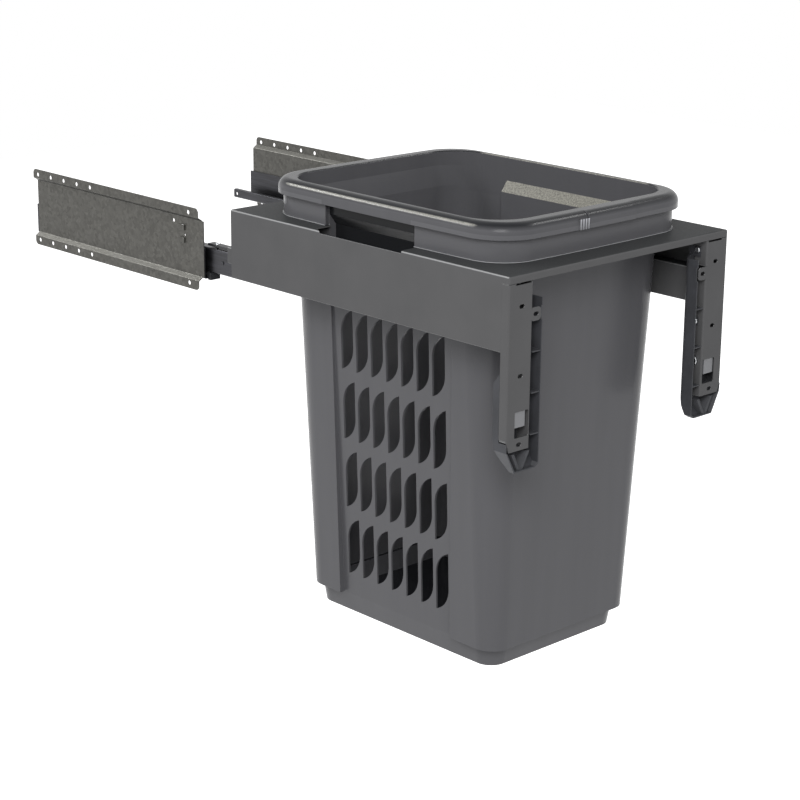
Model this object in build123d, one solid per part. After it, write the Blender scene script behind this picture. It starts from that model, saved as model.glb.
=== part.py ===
"""Pull-out laundry hamper on two ball-bearing runners, drawn fully pulled out.

Sizes are in millimetres. X runs across the cabinet from its left wall to its right wall, Y into
the cabinet and Z up. The origin is at the centre of the four outer door slots: on the mid-plane,
on the face that meets the door, at the height of the middle pair of slots. The left-hand pieces
are drawn and the right-hand ones are their mirror image.
"""
import os

from build123d import *

# Cabinet and travel
CABINET_WIDTH = 418.0
WALL_GAP = 11.0
TRAVEL = 545.0

# Carrier frame: one steel sheet folded down along its sides and front
FRAME_WIDTH = CABINET_WIDTH - 2 * WALL_GAP
FRAME_DEPTH = 505.0
SKIRT_HEIGHT = 91.0
FRONT_LIP = 9.0
SHEET = 1.5
FOLD = 2.5
DECK_TOP = 121.0
HAND_NOTCH_BEVEL = 18.0

# Door bracket: a folded leg under each front corner
WEB_WIDTH = 40.0
WEB_DROP = 212.0
SLOT_MARGIN = 7.5
SLOT_PITCH = WEB_DROP - SLOT_MARGIN - DECK_TOP
SLOT_LENGTH = 9.0
SLOT_WIDTH = 5.0
SLOT_INSET = 22.0
LEG_SIDE_DROP = WEB_DROP - 15.0
LEG_SIDE_DEPTH = 12.0
LEG_RETURN_DEPTH = 19.0
TAB_REACH = 14.0
TAB_HEIGHT = 16.5
TAB_CORNER = 5.0
TAB_DROP = 50.2
WINDOW_HEIGHT = 32.0
WINDOW_TOP_DROP = WEB_DROP - 16.0 - WINDOW_HEIGHT
WINDOW_LEFT = 14.0
WINDOW_WIDTH = 23.5

# Leg cover, its screws and the height adjuster
COVER_WALL = 1.5
COVER_WIDTH = WEB_WIDTH + 17.0
COVER_DEPTH = 22.5
COVER_CORNER = 9.0
COVER_TOE = 4.0
COVER_TOP_DROP = 28.0
COVER_SHOULDER_DROP = WEB_DROP - 95.0
COVER_BOTTOM_DROP = WEB_DROP + 27.0
SCREW_RADIUS = 2.0
SCREW_DEPTH = 13.5
TOP_SCREW_DROP = 22.0
TOP_SCREW_HEAD = 4.0
LOW_SCREW_DROP = COVER_SHOULDER_DROP - 3.0
LOW_SCREW_HEAD = 5.0
SCREW_HEAD_HEIGHT = 2.5
LUG_DEPTH = 27.0
NUT_RADIUS = 3.5
NUT_HEIGHT = 3.2
ADJUSTER_WIDTH = 18.0
ADJUSTER_HEIGHT = 20.0
ADJUSTER_DEPTH = 16.5
CAM_HEAD_RADIUS = 7.0
CAM_HEAD_HEIGHT = 3.5
CAM_SHAFT_RADIUS = 3.0
CAM_PIN_RADIUS = 1.5
CAM_THROW = 2.0
CAM_DEPTH = 13.0
CAM_SLOT_PLAY = 0.25

# Side plate on the cabinet wall
PLATE_SHEET = 1.2
PLATE_SETBACK = 13.0
PLATE_LENGTH = 387.0
PLATE_TOP_DROP = 6.5
PLATE_WEB_TOP_DROP = 24.0
PLATE_WEB_HEIGHT = 76.0
PLATE_FLANGE = 13.0
PLATE_JOGGLE = 6.8
PLATE_JOGGLE_RISE = 4.5
PLATE_CORNER = 6.0
FLANGE_INSET = 3.5
HOLE_PITCH = 32.0
HOLE_SETBACK = 24.0
HOLE_MARGIN = 11.0
HOLES_BEHIND = 5
HOLE_RADIUS = 3.0
HOLE_ROW_DROP = PLATE_WEB_TOP_DROP - 10.0
HOLE_ROW_SPACING = PLATE_WEB_HEIGHT + 20.0

# Runner: cabinet rail, middle rail, drawer rail and their balls
RAIL_SHEET = 1.5
SLIM_SHEET = 1.2
RAIL_FOLD = 2.0
BALL_RADIUS = 3.6
BALL_PLAY = 0.05
CABINET_RAIL_LENGTH = PLATE_LENGTH + 20.0
CABINET_RAIL_FLOOR = 23.5
CABINET_RAIL_WALL = 42.0
UPSTAND = 13.5
UPSTAND_LIP = 6.0
CABINET_RAIL_DROP = PLATE_WEB_TOP_DROP + PLATE_WEB_HEIGHT + 2.0
MIDDLE_RAIL_FRONT = TRAVEL / 2 + 32.5
MIDDLE_RAIL_LENGTH = CABINET_RAIL_LENGTH - 12.0
MIDDLE_RAIL_HEIGHT = 33.2
MIDDLE_RAIL_INSET = 4.2
MIDDLE_RAIL_TOP_WIDTH = 14.8
MIDDLE_RAIL_LOW_WIDTH = 11.8
DRAWER_RAIL_FRONT = 30.0
DRAWER_RAIL_LENGTH = FRAME_DEPTH - 20.0
DRAWER_RAIL_WIDTH = 22.5
DRAWER_RAIL_OUTER = 21.5
DRAWER_RAIL_INNER = 44.5
CAGE_LENGTH = PLATE_LENGTH - 137.0
CAGE_WIDTH = 11.0
CAGE_THICKNESS = 3.0
CAGE_PLAY = 0.15
CAGE_BALLS = 9
LOWER_CAGE_FRONT = TRAVEL + PLATE_SETBACK + 4.0
UPPER_CAGE_FRONT = MIDDLE_RAIL_FRONT + 7.0
STOP_SETBACK = 224.0
STOP_RADIUS = 2.5
STOP_HEIGHT = 1.0

# Soft-close unit on the cabinet rail
HOUSING_LENGTH = 155.0
HOUSING_MARGIN = 135.0
HOUSING_FRONT = TRAVEL + PLATE_SETBACK + CABINET_RAIL_LENGTH - HOUSING_MARGIN - HOUSING_LENGTH
HOUSING_WIDTH = 10.5
HOUSING_HEIGHT = 21.0
HOUSING_WALL = 1.2
CATCH_LENGTH = 20.0
CATCH_STROKE = 50.0
CATCH_HEIGHT = 10.0
CYLINDER_RADIUS = 3.8
CYLINDER_BORE = 3.0
CYLINDER_LENGTH = 70.0
ROD_RADIUS = 1.5
PIN_RADIUS = 2.5
PIN_LENGTH = 4.0

# Laundry basket: every outline follows the neck, which hangs in the deck's cut-out
BASKET_WALL = 3.0
NECK_DROP = 8.0
NECK_INSET = 34.5
NECK_SETBACK = 61.0
NECK_HALF_WIDTH = FRAME_WIDTH / 2 - NECK_INSET
NECK_FRONT = NECK_SETBACK
NECK_BACK = FRAME_DEPTH - NECK_SETBACK
NECK_CORNER = 50.0
MOUTH_FLARE = 6.0
FOOT_HALF_WIDTH = NECK_HALF_WIDTH - 33.0
FOOT_FRONT = NECK_FRONT + 19.0
FOOT_BACK = NECK_BACK - 12.0
FOOT_CORNER = 28.0
BASE_DROP = 538.0
STEP_DROP = BASE_DROP - 26.0
STEP_HALF_WIDTH = FOOT_HALF_WIDTH - 8.1
STEP_FRONT = FOOT_FRONT + 8.8
STEP_BACK = FOOT_BACK - 5.0
STEP_CORNER = 29.0
BASE_HALF_WIDTH = STEP_HALF_WIDTH - 4.7
BASE_FRONT = STEP_FRONT + 5.2
BASE_BACK = STEP_BACK - 5.0
BASE_CORNER = 23.0
COLLAR_HEIGHT = 28.0
COLLAR_HALF_WIDTH = NECK_HALF_WIDTH + 8.0
COLLAR_FRONT = NECK_FRONT - 22.5
COLLAR_BACK = NECK_BACK + 23.0
COLLAR_CORNER = 52.0
COLLAR_BEAD = 1.2
SKIN = 2.5
RIM_HEIGHT = 20.0
RIM_OVERHANG = 6.5
RIM_ROUND = 13.0
MOUTH_EDGE = 1.5
BOW = 4.0
PANEL_DROP = 105.0
PANEL_TOP_HALF_WIDTH = NECK_HALF_WIDTH - 9.2
PANEL_TOP_FRONT = NECK_FRONT + 72.6
PANEL_TOP_BACK = NECK_BACK - 90.1
PANEL_LOW_FRONT = PANEL_TOP_FRONT + 21.9
PANEL_LOW_BACK = PANEL_TOP_BACK + 11.7
VENT_ROWS = 4
VENT_COLUMNS = 7
VENT_TOP_DROP = PANEL_DROP + 2.5
VENT_LOW_MARGIN = 30.2
VENT_BAR = 14.1
VENT_ROW_PITCH = (STEP_DROP - VENT_LOW_MARGIN - VENT_TOP_DROP + VENT_BAR) / VENT_ROWS
VENT_HEIGHT = VENT_ROW_PITCH - VENT_BAR
VENT_FIRST_EDGE = PANEL_TOP_FRONT + 15.2
VENT_LAST_EDGE = PANEL_TOP_BACK - 37.1
VENT_PITCH = (VENT_LAST_EDGE - VENT_FIRST_EDGE) / (VENT_COLUMNS - 1)
VENT_WIDTH = VENT_PITCH - 5.0
VENT_ROW_SHIFT = 3.6
VENT_LEAN = 3.6
VENT_STRAIGHT = 0.61
HAND_HOLE_FRONT = NECK_FRONT + 125.0
HAND_HOLE_BACK = NECK_BACK - 95.0
POCKET_FRONT = HAND_HOLE_FRONT - 20.0
POCKET_DEPTH = 10.5
POCKET_RUN = 15.0
POCKET_RISE = 20.0
POCKET_OVERLAP = 2.0
HAND_NOTCH_FRONT = HAND_HOLE_FRONT - 3.0
HAND_NOTCH_BACK = HAND_HOLE_BACK - 4.0
PAD_LEFT = -28.5
PAD_RIGHT = 55.0
PAD_PROUD = 1.2
PAD_RIB_COUNT = 4
PAD_RIB_PITCH = 4.6
PAD_RIB_RADIUS = 2.0
PAD_RIB_PROUD = 1.9
PAD_RIB_HEIGHT = 13.0

# Clearances
SEAT_GAP = 0.3
SLIDE_GAP = 0.3
SHAFT_GAP = 0.08
SCREW_GAP = 0.15
BASKET_GAP = 1.5

HALF_FRAME = FRAME_WIDTH / 2
PLATE_FRONT = TRAVEL + PLATE_SETBACK
PLATE_BACK = PLATE_FRONT + PLATE_LENGTH
PLATE_WEB_INSET = PLATE_JOGGLE - WALL_GAP

parts = {}


def inboard(distance):
    """X of a point this far inboard of the left skirt's outer face."""
    return distance - HALF_FRAME


def under(drop):
    """Z of a point this far below the deck's top face."""
    return DECK_TOP - drop


def block(inset, front, drop):
    """Box between two insets, two Y values and two drops, each given as a pair."""
    size = [abs(pair[1] - pair[0]) for pair in (inset, front, drop)]
    middle = [(pair[0] + pair[1]) / 2 for pair in (inset, front, drop)]
    return Pos(inboard(middle[0]), middle[1], under(middle[2])) * Box(*size)


def across(inset, y, drop, radius):
    """Round bar along X between two insets."""
    bar = Cylinder(radius, abs(inset[1] - inset[0]))
    return Pos(inboard(sum(inset) / 2), y, under(drop)) * Rot(0, 90, 0) * bar


def along(inset, front, drop, radius):
    """Round bar along Y between two Y values."""
    bar = Cylinder(radius, abs(front[1] - front[0]))
    return Pos(inboard(inset), sum(front) / 2, under(drop)) * Rot(90, 0, 0) * bar


def folded(points, thickness, fold, side):
    """Section of a folded sheet in inset and drop, its outer surface on the points."""
    places = [(inboard(inset), under(drop)) for inset, drop in points]
    return make_face(offset(FilletPolyline(*places, radius=fold), amount=thickness, side=side))


def drawn(section, front, back):
    """Section in X and Z drawn along Y."""
    return extrude(Plane.XZ.offset(-front) * section, back - front, dir=(0, 1, 0))


def seen_from_side(points, inset):
    """Prism across X whose outline is given as Y and drop."""
    outline = make_face(Polyline(*[(y, under(drop)) for y, drop in points], close=True))
    return extrude(Plane.YZ.offset(inboard(inset[0])) * outline, inset[1] - inset[0])


def seen_from_front(points, front, back):
    """Prism along Y whose outline is given as inset and drop."""
    outline = make_face(Polyline(*[(inboard(s), under(drop)) for s, drop in points], close=True))
    return drawn(outline, front, back)


def mirrored(shape):
    """The right-hand twin of a left-hand shape."""
    return mirror(shape, about=Plane.YZ)


def add_pair(name, shape):
    """Store a left-hand piece and its right-hand twin."""
    parts["left_" + name] = shape
    parts["right_" + name] = mirrored(shape)


# Laundry basket outlines, shared with the cut-out that holds it

def ring_outline(half_width, front, back, corner, bow=0.0):
    """Rounded rectangle about the mid-plane, its four sides bowed outwards by bow."""
    corners = [(-half_width + bow, front + bow), (half_width - bow, front + bow),
               (half_width - bow, back - bow), (-half_width + bow, back - bow)]
    middle = (front + back) / 2
    peaks = [(0, front), (half_width, middle), (0, back), (-half_width, middle)]
    sides = []
    for index, peak in enumerate(peaks):
        start = corners[index]
        end = corners[(index + 1) % 4]
        sides.append(ThreePointArc(start, peak, end) if bow else Line(start, end))
    face = make_face(Curve() + sides)
    return fillet(face.vertices(), corner)


def stack(*levels):
    """Loft through outlines, each given with its drop."""
    return loft([Pos(0, 0, under(drop)) * outline for drop, outline in levels], ruled=True)


def inner(size, wall):
    """Outline values drawn in by a wall."""
    half_width, front, back, corner = size
    return half_width - wall, front + wall, back - wall, corner - wall


BASE = (BASE_HALF_WIDTH, BASE_FRONT, BASE_BACK, BASE_CORNER)
STEP = (STEP_HALF_WIDTH, STEP_FRONT, STEP_BACK, STEP_CORNER)
FOOT = (FOOT_HALF_WIDTH, FOOT_FRONT, FOOT_BACK, FOOT_CORNER)
NECK = (NECK_HALF_WIDTH, NECK_FRONT, NECK_BACK, NECK_CORNER)
MOUTH = (NECK_HALF_WIDTH, NECK_FRONT - MOUTH_FLARE, NECK_BACK + MOUTH_FLARE,
         NECK_CORNER + MOUTH_FLARE)
COLLAR = (COLLAR_HALF_WIDTH, COLLAR_FRONT, COLLAR_BACK, COLLAR_CORNER)
RIM = inner(COLLAR, -RIM_OVERHANG)


# Carrier frame

def tray(wall, back, low):
    """Upturned tray with rounded front corners and folds, drawn in by a wall."""
    shape = block((wall, FRAME_WIDTH - wall), (wall, back), (wall, low))
    rounded = shape.edges().group_by(Axis.Z)[-1].sort_by(Axis.Y)[:-1]
    rounded += shape.edges().filter_by(Axis.Z).group_by(Axis.Y)[0]
    return fillet(rounded, FOLD - wall)


def carrier_frame():
    """Deck with its side skirts and front lip, cut out for the basket and for the hands."""
    shape = tray(0, FRAME_DEPTH, SKIRT_HEIGHT) - tray(SHEET, FRAME_DEPTH + 1, SKIRT_HEIGHT + 1)
    shape -= block((-1, FRAME_WIDTH + 1), (-1, FOLD), (FRONT_LIP, SKIRT_HEIGHT + 1))
    seat = inner(NECK, -BASKET_GAP)
    shape -= Pos(0, 0, under(2 * SHEET)) * extrude(ring_outline(*seat), 4 * SHEET)
    leg_space = block((-1, FOLD), (0, LEG_SIDE_DEPTH), (FRONT_LIP, SKIRT_HEIGHT + 1))
    notch_points = [(-1, HAND_NOTCH_FRONT - FOLD), (HAND_NOTCH_BEVEL / 2, HAND_NOTCH_FRONT),
                    (WEB_WIDTH, HAND_NOTCH_FRONT), (WEB_WIDTH, HAND_NOTCH_BACK),
                    (HAND_NOTCH_BEVEL / 2, HAND_NOTCH_BACK),
                    (-1, HAND_NOTCH_BACK - HAND_NOTCH_BEVEL)]
    notch = make_face(Polyline(*[(inboard(s), y) for s, y in notch_points], close=True))
    notch = Pos(0, 0, under(FOLD + 0.5)) * extrude(notch, 2 * FOLD)
    for cut in (leg_space, notch):
        shape -= cut
        shape -= mirrored(cut)
    return shape


parts["carrier_frame"] = carrier_frame()


# Door brackets

WINDOW_BOTTOM_DROP = WINDOW_TOP_DROP + WINDOW_HEIGHT
DOOR_SLOT_DROPS = [DECK_TOP + SLOT_PITCH * step for step in (-1, 0, 1)]
TAB_SLOT_INSET = WEB_WIDTH + TAB_REACH / 2 - 1
WEB_TOP_DROP = FRONT_LIP + 0.5
LUG_INSET = WEB_WIDTH + COVER_WALL
CAM_DROP = WINDOW_TOP_DROP + 2.0
COVER_SCREWS = ((TOP_SCREW_DROP, TOP_SCREW_HEAD), (LOW_SCREW_DROP, LOW_SCREW_HEAD))


def door_slot(inset, drop):
    """Cutter for a horizontal slot through a web."""
    slot = SlotOverall(SLOT_LENGTH, SLOT_WIDTH)
    return drawn(Pos(inboard(inset), under(drop)) * slot, -1, 2 * SHEET)


def door_bracket():
    """Folded leg: side wall, web against the door, and return wall with its lanced tab."""
    path = FilletPolyline((inboard(0), LEG_SIDE_DEPTH), (inboard(0), 0), (inboard(WEB_WIDTH), 0),
                          (inboard(WEB_WIDTH), LEG_RETURN_DEPTH), radius=FOLD)
    section = make_face(offset(path, amount=SHEET, side=Side.LEFT))
    shape = Pos(0, 0, under(WEB_DROP)) * extrude(section, WEB_DROP - WEB_TOP_DROP)
    tab_span = (TAB_DROP - TAB_HEIGHT / 2, TAB_DROP + TAB_HEIGHT / 2)
    shape -= block((WEB_WIDTH - 2 * SHEET, WEB_WIDTH + 1), (SHEET, TAB_REACH), tab_span)
    tab = Pos(inboard(WEB_WIDTH + TAB_REACH / 2 - SHEET), under(TAB_DROP))
    tab = tab * RectangleRounded(TAB_REACH + 2 * SHEET, TAB_HEIGHT, TAB_CORNER)
    shape += drawn(tab, 0, SHEET)
    shape -= door_slot(TAB_SLOT_INSET, TAB_DROP)
    for drop in DOOR_SLOT_DROPS:
        shape -= door_slot(SLOT_INSET, drop)
    window = Pos(inboard(WINDOW_LEFT + WINDOW_WIDTH / 2), under(WINDOW_TOP_DROP + WINDOW_HEIGHT / 2))
    shape -= drawn(window * RectangleRounded(WINDOW_WIDTH, WINDOW_HEIGHT, SHEET), -1, 2 * SHEET)
    shape -= block((SLOT_INSET / 2, WEB_WIDTH - FOLD), (-1, 2 * SHEET), (0, WEB_TOP_DROP + 2))
    toe = [(-1, LEG_SIDE_DROP), (0.6, LEG_SIDE_DROP), (5.7, WEB_DROP + 1), (-1, WEB_DROP + 1)]
    shape -= seen_from_front(toe, -1, LEG_SIDE_DEPTH + 1)
    for drop, _ in COVER_SCREWS:
        shape -= across((WEB_WIDTH - 2 * SHEET, WEB_WIDTH + 1), SCREW_DEPTH, drop,
                        SCREW_RADIUS + SCREW_GAP)
    shape -= across((WEB_WIDTH - 2 * SHEET, WEB_WIDTH + 1), CAM_DEPTH, CAM_DROP,
                    CAM_SHAFT_RADIUS + SHAFT_GAP)
    return shape


add_pair("door_bracket", door_bracket())


# Leg covers

def cover_room(wall):
    """Block with the cover's rounded corner at the back, drawn in by a wall."""
    shape = block((-1, COVER_WIDTH - wall), (-2, COVER_DEPTH - wall), (0, COVER_BOTTOM_DROP + 1))
    corner = shape.edges().filter_by(Axis.Z).group_by(Axis.Y)[-1].sort_by(Axis.X)[-1]
    return fillet(corner, COVER_CORNER - wall)


def leg_cover():
    """Plastic tub behind a leg, open towards the door, with two lugs on the return wall."""
    outline = [(0, COVER_SHOULDER_DROP), (0, LEG_SIDE_DROP), (1.4, WEB_DROP), (15, COVER_BOTTOM_DROP),
               (51, COVER_BOTTOM_DROP), (COVER_WIDTH, COVER_BOTTOM_DROP - 4),
               (COVER_WIDTH, COVER_TOP_DROP + 4), (WEB_WIDTH + SEAT_GAP, COVER_TOP_DROP),
               (WEB_WIDTH + SEAT_GAP, COVER_SHOULDER_DROP)]
    knee = LEG_SIDE_DROP + 2
    profile = [(0, COVER_TOP_DROP - 1), (COVER_DEPTH, COVER_TOP_DROP - 1), (COVER_DEPTH, knee),
               (COVER_DEPTH - 1.5, knee + 12), (COVER_DEPTH - 6, knee + 25),
               (COVER_DEPTH - 15, COVER_BOTTOM_DROP + 1), (0, COVER_BOTTOM_DROP + 1)]
    shape = seen_from_front(outline, 0, COVER_DEPTH)
    shape &= seen_from_side(profile, (-1, COVER_WIDTH + 1)) & cover_room(0)
    wall = COVER_WALL
    hollow = [(wall, 0), (wall, LEG_SIDE_DROP), (1.4 + wall, WEB_DROP), (15 + wall, COVER_BOTTOM_DROP - wall),
              (51 - wall / 2, COVER_BOTTOM_DROP - wall), (COVER_WIDTH - wall, COVER_BOTTOM_DROP - 4 - wall),
              (COVER_WIDTH - wall, 0)]
    inside = [(-1, 0), (COVER_DEPTH - wall, 0), (COVER_DEPTH - wall, knee),
              (COVER_DEPTH - 1.5 - wall, knee + 12), (COVER_DEPTH - 6 - wall, knee + 25),
              (COVER_DEPTH - 15 - wall, COVER_BOTTOM_DROP), (-1, COVER_BOTTOM_DROP)]
    cavity = seen_from_front(hollow, -1, COVER_DEPTH)
    cavity &= seen_from_side(inside, (-2, COVER_WIDTH + 2)) & cover_room(wall)
    upper_wall = block((0, LUG_INSET + SEAT_GAP), (-1, COVER_DEPTH), (0, COVER_SHOULDER_DROP - wall))
    cavity -= upper_wall
    shape -= cavity
    shape -= block((-1, wall + SEAT_GAP), (-1, LEG_SIDE_DEPTH + SEAT_GAP), (0, LEG_SIDE_DROP + COVER_TOE))
    shape -= block((wall, LUG_INSET + SEAT_GAP), (-1, LEG_RETURN_DEPTH + SEAT_GAP), (0, WEB_DROP))
    slant = [(LEG_SIDE_DEPTH - 1, COVER_SHOULDER_DROP), (COVER_DEPTH, COVER_SHOULDER_DROP - 1),
             (COVER_DEPTH, COVER_SHOULDER_DROP + 13), (LEG_SIDE_DEPTH, COVER_SHOULDER_DROP)]
    shape -= seen_from_side(slant, (-1, WEB_WIDTH - SHEET))
    for rise in (117.0, 67.0, 16.0):
        drop = WEB_DROP - rise
        rib = block((LUG_INSET + SEAT_GAP, COVER_WIDTH - wall / 2), (0.5, COVER_DEPTH - wall / 2),
                    (drop, drop + wall))
        shape += rib & cover_room(wall / 2)
    foot = (WEB_WIDTH - 13.0, COVER_BOTTOM_DROP - wall)
    for top in (WEB_WIDTH - 25.0, WEB_WIDTH):
        lean = 1 if top > foot[0] else -1
        rib = [(foot[0], foot[1]), (foot[0] + 3 * wall * lean, foot[1]),
               (top + 2 * wall * lean, WEB_DROP + 4), (top - wall * lean, WEB_DROP + 4)]
        shape += seen_from_front(rib, 2, COVER_DEPTH) & seen_from_side(inside, (-2, COVER_WIDTH + 2))
    lug = (WEB_WIDTH, LUG_INSET)
    for drop, head in COVER_SCREWS:
        shape += block(lug, (SCREW_DEPTH - head, COVER_DEPTH - wall / 2), (drop - head, drop + head))
    shape += block((WEB_WIDTH + SEAT_GAP, LUG_INSET), (SCREW_DEPTH - TOP_SCREW_HEAD, LUG_DEPTH),
                   (TOP_SCREW_DROP - TOP_SCREW_HEAD, COVER_TOP_DROP + 2 * wall))
    for drop, _ in COVER_SCREWS:
        shape -= across((WEB_WIDTH - 1, LUG_INSET + 1), SCREW_DEPTH, drop, SCREW_RADIUS + SCREW_GAP)
    tab_drop = (TAB_DROP - TAB_HEIGHT / 2 - SEAT_GAP, TAB_DROP + TAB_HEIGHT / 2 + SEAT_GAP)
    shape -= block((WEB_WIDTH - 1, COVER_WIDTH + 1), (-1, SHEET + SEAT_GAP), tab_drop)
    return shape


add_pair("leg_cover", leg_cover())


# Cover screws and nuts

def cover_screws():
    """Pan-head screws through the cover's lugs and the return wall."""
    screws = []
    nuts = []
    nut_outer = WEB_WIDTH - SHEET - NUT_HEIGHT
    for drop, head in COVER_SCREWS:
        cap = across((LUG_INSET, LUG_INSET + SCREW_HEAD_HEIGHT), SCREW_DEPTH, drop, head)
        rim = cap.edges().filter_by(GeomType.CIRCLE).sort_by(Axis.X)[-1]
        cap = fillet(rim, SCREW_HEAD_HEIGHT * 0.6)
        screws.append(cap + across((nut_outer - 1, LUG_INSET), SCREW_DEPTH, drop, SCREW_RADIUS))
        hexagon = extrude(RegularPolygon(NUT_RADIUS, 6, major_radius=False), NUT_HEIGHT)
        nut = Pos(inboard(nut_outer), SCREW_DEPTH, under(drop)) * Rot(0, 90, 0) * hexagon
        bore = across((nut_outer - 1, WEB_WIDTH), SCREW_DEPTH, drop, SCREW_RADIUS + SHAFT_GAP)
        nuts.append(nut - bore)
    return screws, nuts


left_screws, left_nuts = cover_screws()
parts["cover_screws"] = Compound(left_screws + [mirrored(screw) for screw in left_screws])
parts["cover_nuts"] = Compound(left_nuts + [mirrored(nut) for nut in left_nuts])


# Height adjuster: a cam on the return wall lifts a block behind the window

ADJUSTER_INSET = WINDOW_LEFT + 1.0


def adjuster_slide():
    """Block behind the web, slotted for the cam's pin."""
    low = WINDOW_TOP_DROP + ADJUSTER_HEIGHT
    inset = (ADJUSTER_INSET, ADJUSTER_INSET + ADJUSTER_WIDTH)
    shape = block(inset, (SHEET + SLIDE_GAP, SHEET + SLIDE_GAP + ADJUSTER_DEPTH), (WINDOW_TOP_DROP - 6, low))
    pin_y = CAM_DEPTH + CAM_THROW
    slot_y = (pin_y - CAM_THROW - CAM_PIN_RADIUS, pin_y + CAM_PIN_RADIUS + CAM_SLOT_PLAY)
    half = CAM_PIN_RADIUS + CAM_SLOT_PLAY
    shape -= block((inset[1] - 5, inset[1] + 1), slot_y, (CAM_DROP - half, CAM_DROP + half))
    return shape


def adjuster_cam():
    """Slotted head, shaft through the return wall and an eccentric pin."""
    slide_face = ADJUSTER_INSET + ADJUSTER_WIDTH
    face = WEB_WIDTH + SEAT_GAP
    head = across((face, face + CAM_HEAD_HEIGHT), CAM_DEPTH, CAM_DROP, CAM_HEAD_RADIUS)
    edge = head.edges().filter_by(GeomType.CIRCLE).sort_by(Axis.X)[-1]
    shape = fillet(edge, 1.2)
    shape += across((slide_face + 1, face), CAM_DEPTH, CAM_DROP, CAM_SHAFT_RADIUS)
    shape += across((slide_face - 4.5, slide_face + 1.5), CAM_DEPTH + CAM_THROW, CAM_DROP, CAM_PIN_RADIUS)
    top = face + CAM_HEAD_HEIGHT
    reach = (CAM_DEPTH - 5, CAM_DEPTH + 5)
    shape -= block((top - 2, top + 1), reach, (CAM_DROP - 0.8, CAM_DROP + 0.8))
    shape -= block((top - 2, top + 1), (CAM_DEPTH - 0.8, CAM_DEPTH + 0.8), (CAM_DROP - 5, CAM_DROP + 5))
    return shape


add_pair("adjuster_slide", adjuster_slide())
add_pair("adjuster_cam", adjuster_cam())


# Side plates

PLATE_LOW_DROP = PLATE_WEB_TOP_DROP + PLATE_WEB_HEIGHT


def side_plate():
    """Pressed plate on the cabinet wall: two joggled flanges with the screw holes, and a web."""
    wall = -WALL_GAP
    web = PLATE_WEB_INSET
    fold_top = PLATE_WEB_TOP_DROP - PLATE_JOGGLE_RISE
    fold_low = PLATE_LOW_DROP + PLATE_JOGGLE_RISE
    bottom = fold_low + PLATE_FLANGE
    section = folded([(wall, PLATE_TOP_DROP), (wall, fold_top), (web, PLATE_WEB_TOP_DROP),
                      (web, PLATE_LOW_DROP), (wall, fold_low), (wall, bottom)],
                     PLATE_SHEET, PLATE_SHEET + 0.3, Side.LEFT)
    shape = drawn(section, PLATE_FRONT, PLATE_BACK)
    middle = (PLATE_TOP_DROP + bottom) / 2
    flange_front = PLATE_FRONT + FLANGE_INSET
    outline = Pos((flange_front + PLATE_BACK) / 2, under(middle))
    outline = outline * RectangleRounded(PLATE_BACK - flange_front, bottom - PLATE_TOP_DROP, PLATE_CORNER)
    web_middle = Pos((PLATE_FRONT + PLATE_BACK) / 2, under((PLATE_WEB_TOP_DROP + PLATE_LOW_DROP) / 2))
    outline += web_middle * Rectangle(PLATE_LENGTH, PLATE_WEB_HEIGHT)
    shape &= extrude(Plane.YZ.offset(inboard(wall - 1)) * outline, WALL_GAP + 4)
    through = (wall - 1, web + 2 * PLATE_SHEET)
    places = [PLATE_BACK - HOLE_MARGIN - HOLE_PITCH * step for step in range(HOLES_BEHIND)]
    for y in [PLATE_FRONT + HOLE_SETBACK] + places:
        for drop in (HOLE_ROW_DROP, HOLE_ROW_DROP + HOLE_ROW_SPACING):
            shape -= across(through, y, drop, HOLE_RADIUS)
    shape -= across(through, PLATE_FRONT + 64.5, PLATE_WEB_TOP_DROP + 8, 2.5)
    shape -= across(through, PLATE_FRONT + 40.3, PLATE_WEB_TOP_DROP + 24.4, 1.5)
    for drop in (PLATE_WEB_TOP_DROP + 14.4, PLATE_WEB_TOP_DROP + 31.5):
        bridge = block((web - 2, web + SHEET), (PLATE_FRONT + 40, PLATE_FRONT + 52), (drop - 3.6, drop + 3.6))
        bridge -= block((web - 2 + PLATE_SHEET, web + 3), (PLATE_FRONT + 43, PLATE_FRONT + 49),
                        (drop - 4, drop + 4))
        shape -= block(through, (PLATE_FRONT + 43, PLATE_FRONT + 49), (drop - 3.6, drop + 3.6))
        shape += bridge & block((web - 2, web + PLATE_SHEET), (PLATE_FRONT, PLATE_BACK), (0, 200))
    return shape


add_pair("side_plate", side_plate())


# Runner

RAIL_WALL_INSET = PLATE_WEB_INSET + PLATE_SHEET
RAIL_INNER_INSET = RAIL_WALL_INSET + CABINET_RAIL_FLOOR
FLOOR_DROP = CABINET_RAIL_DROP - RAIL_SHEET
MIDDLE_LOW_DROP = FLOOR_DROP - 2 * (BALL_RADIUS + BALL_PLAY)
MIDDLE_TOP_DROP = MIDDLE_LOW_DROP - MIDDLE_RAIL_HEIGHT
DRAWER_TOP_DROP = MIDDLE_TOP_DROP - 2 * (BALL_RADIUS + BALL_PLAY) - SLIM_SHEET
LIP_DROP = CABINET_RAIL_DROP - UPSTAND
MIDDLE_RAIL_BACK = MIDDLE_RAIL_FRONT + MIDDLE_RAIL_LENGTH
RAIL_BACK = PLATE_FRONT + CABINET_RAIL_LENGTH


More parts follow.
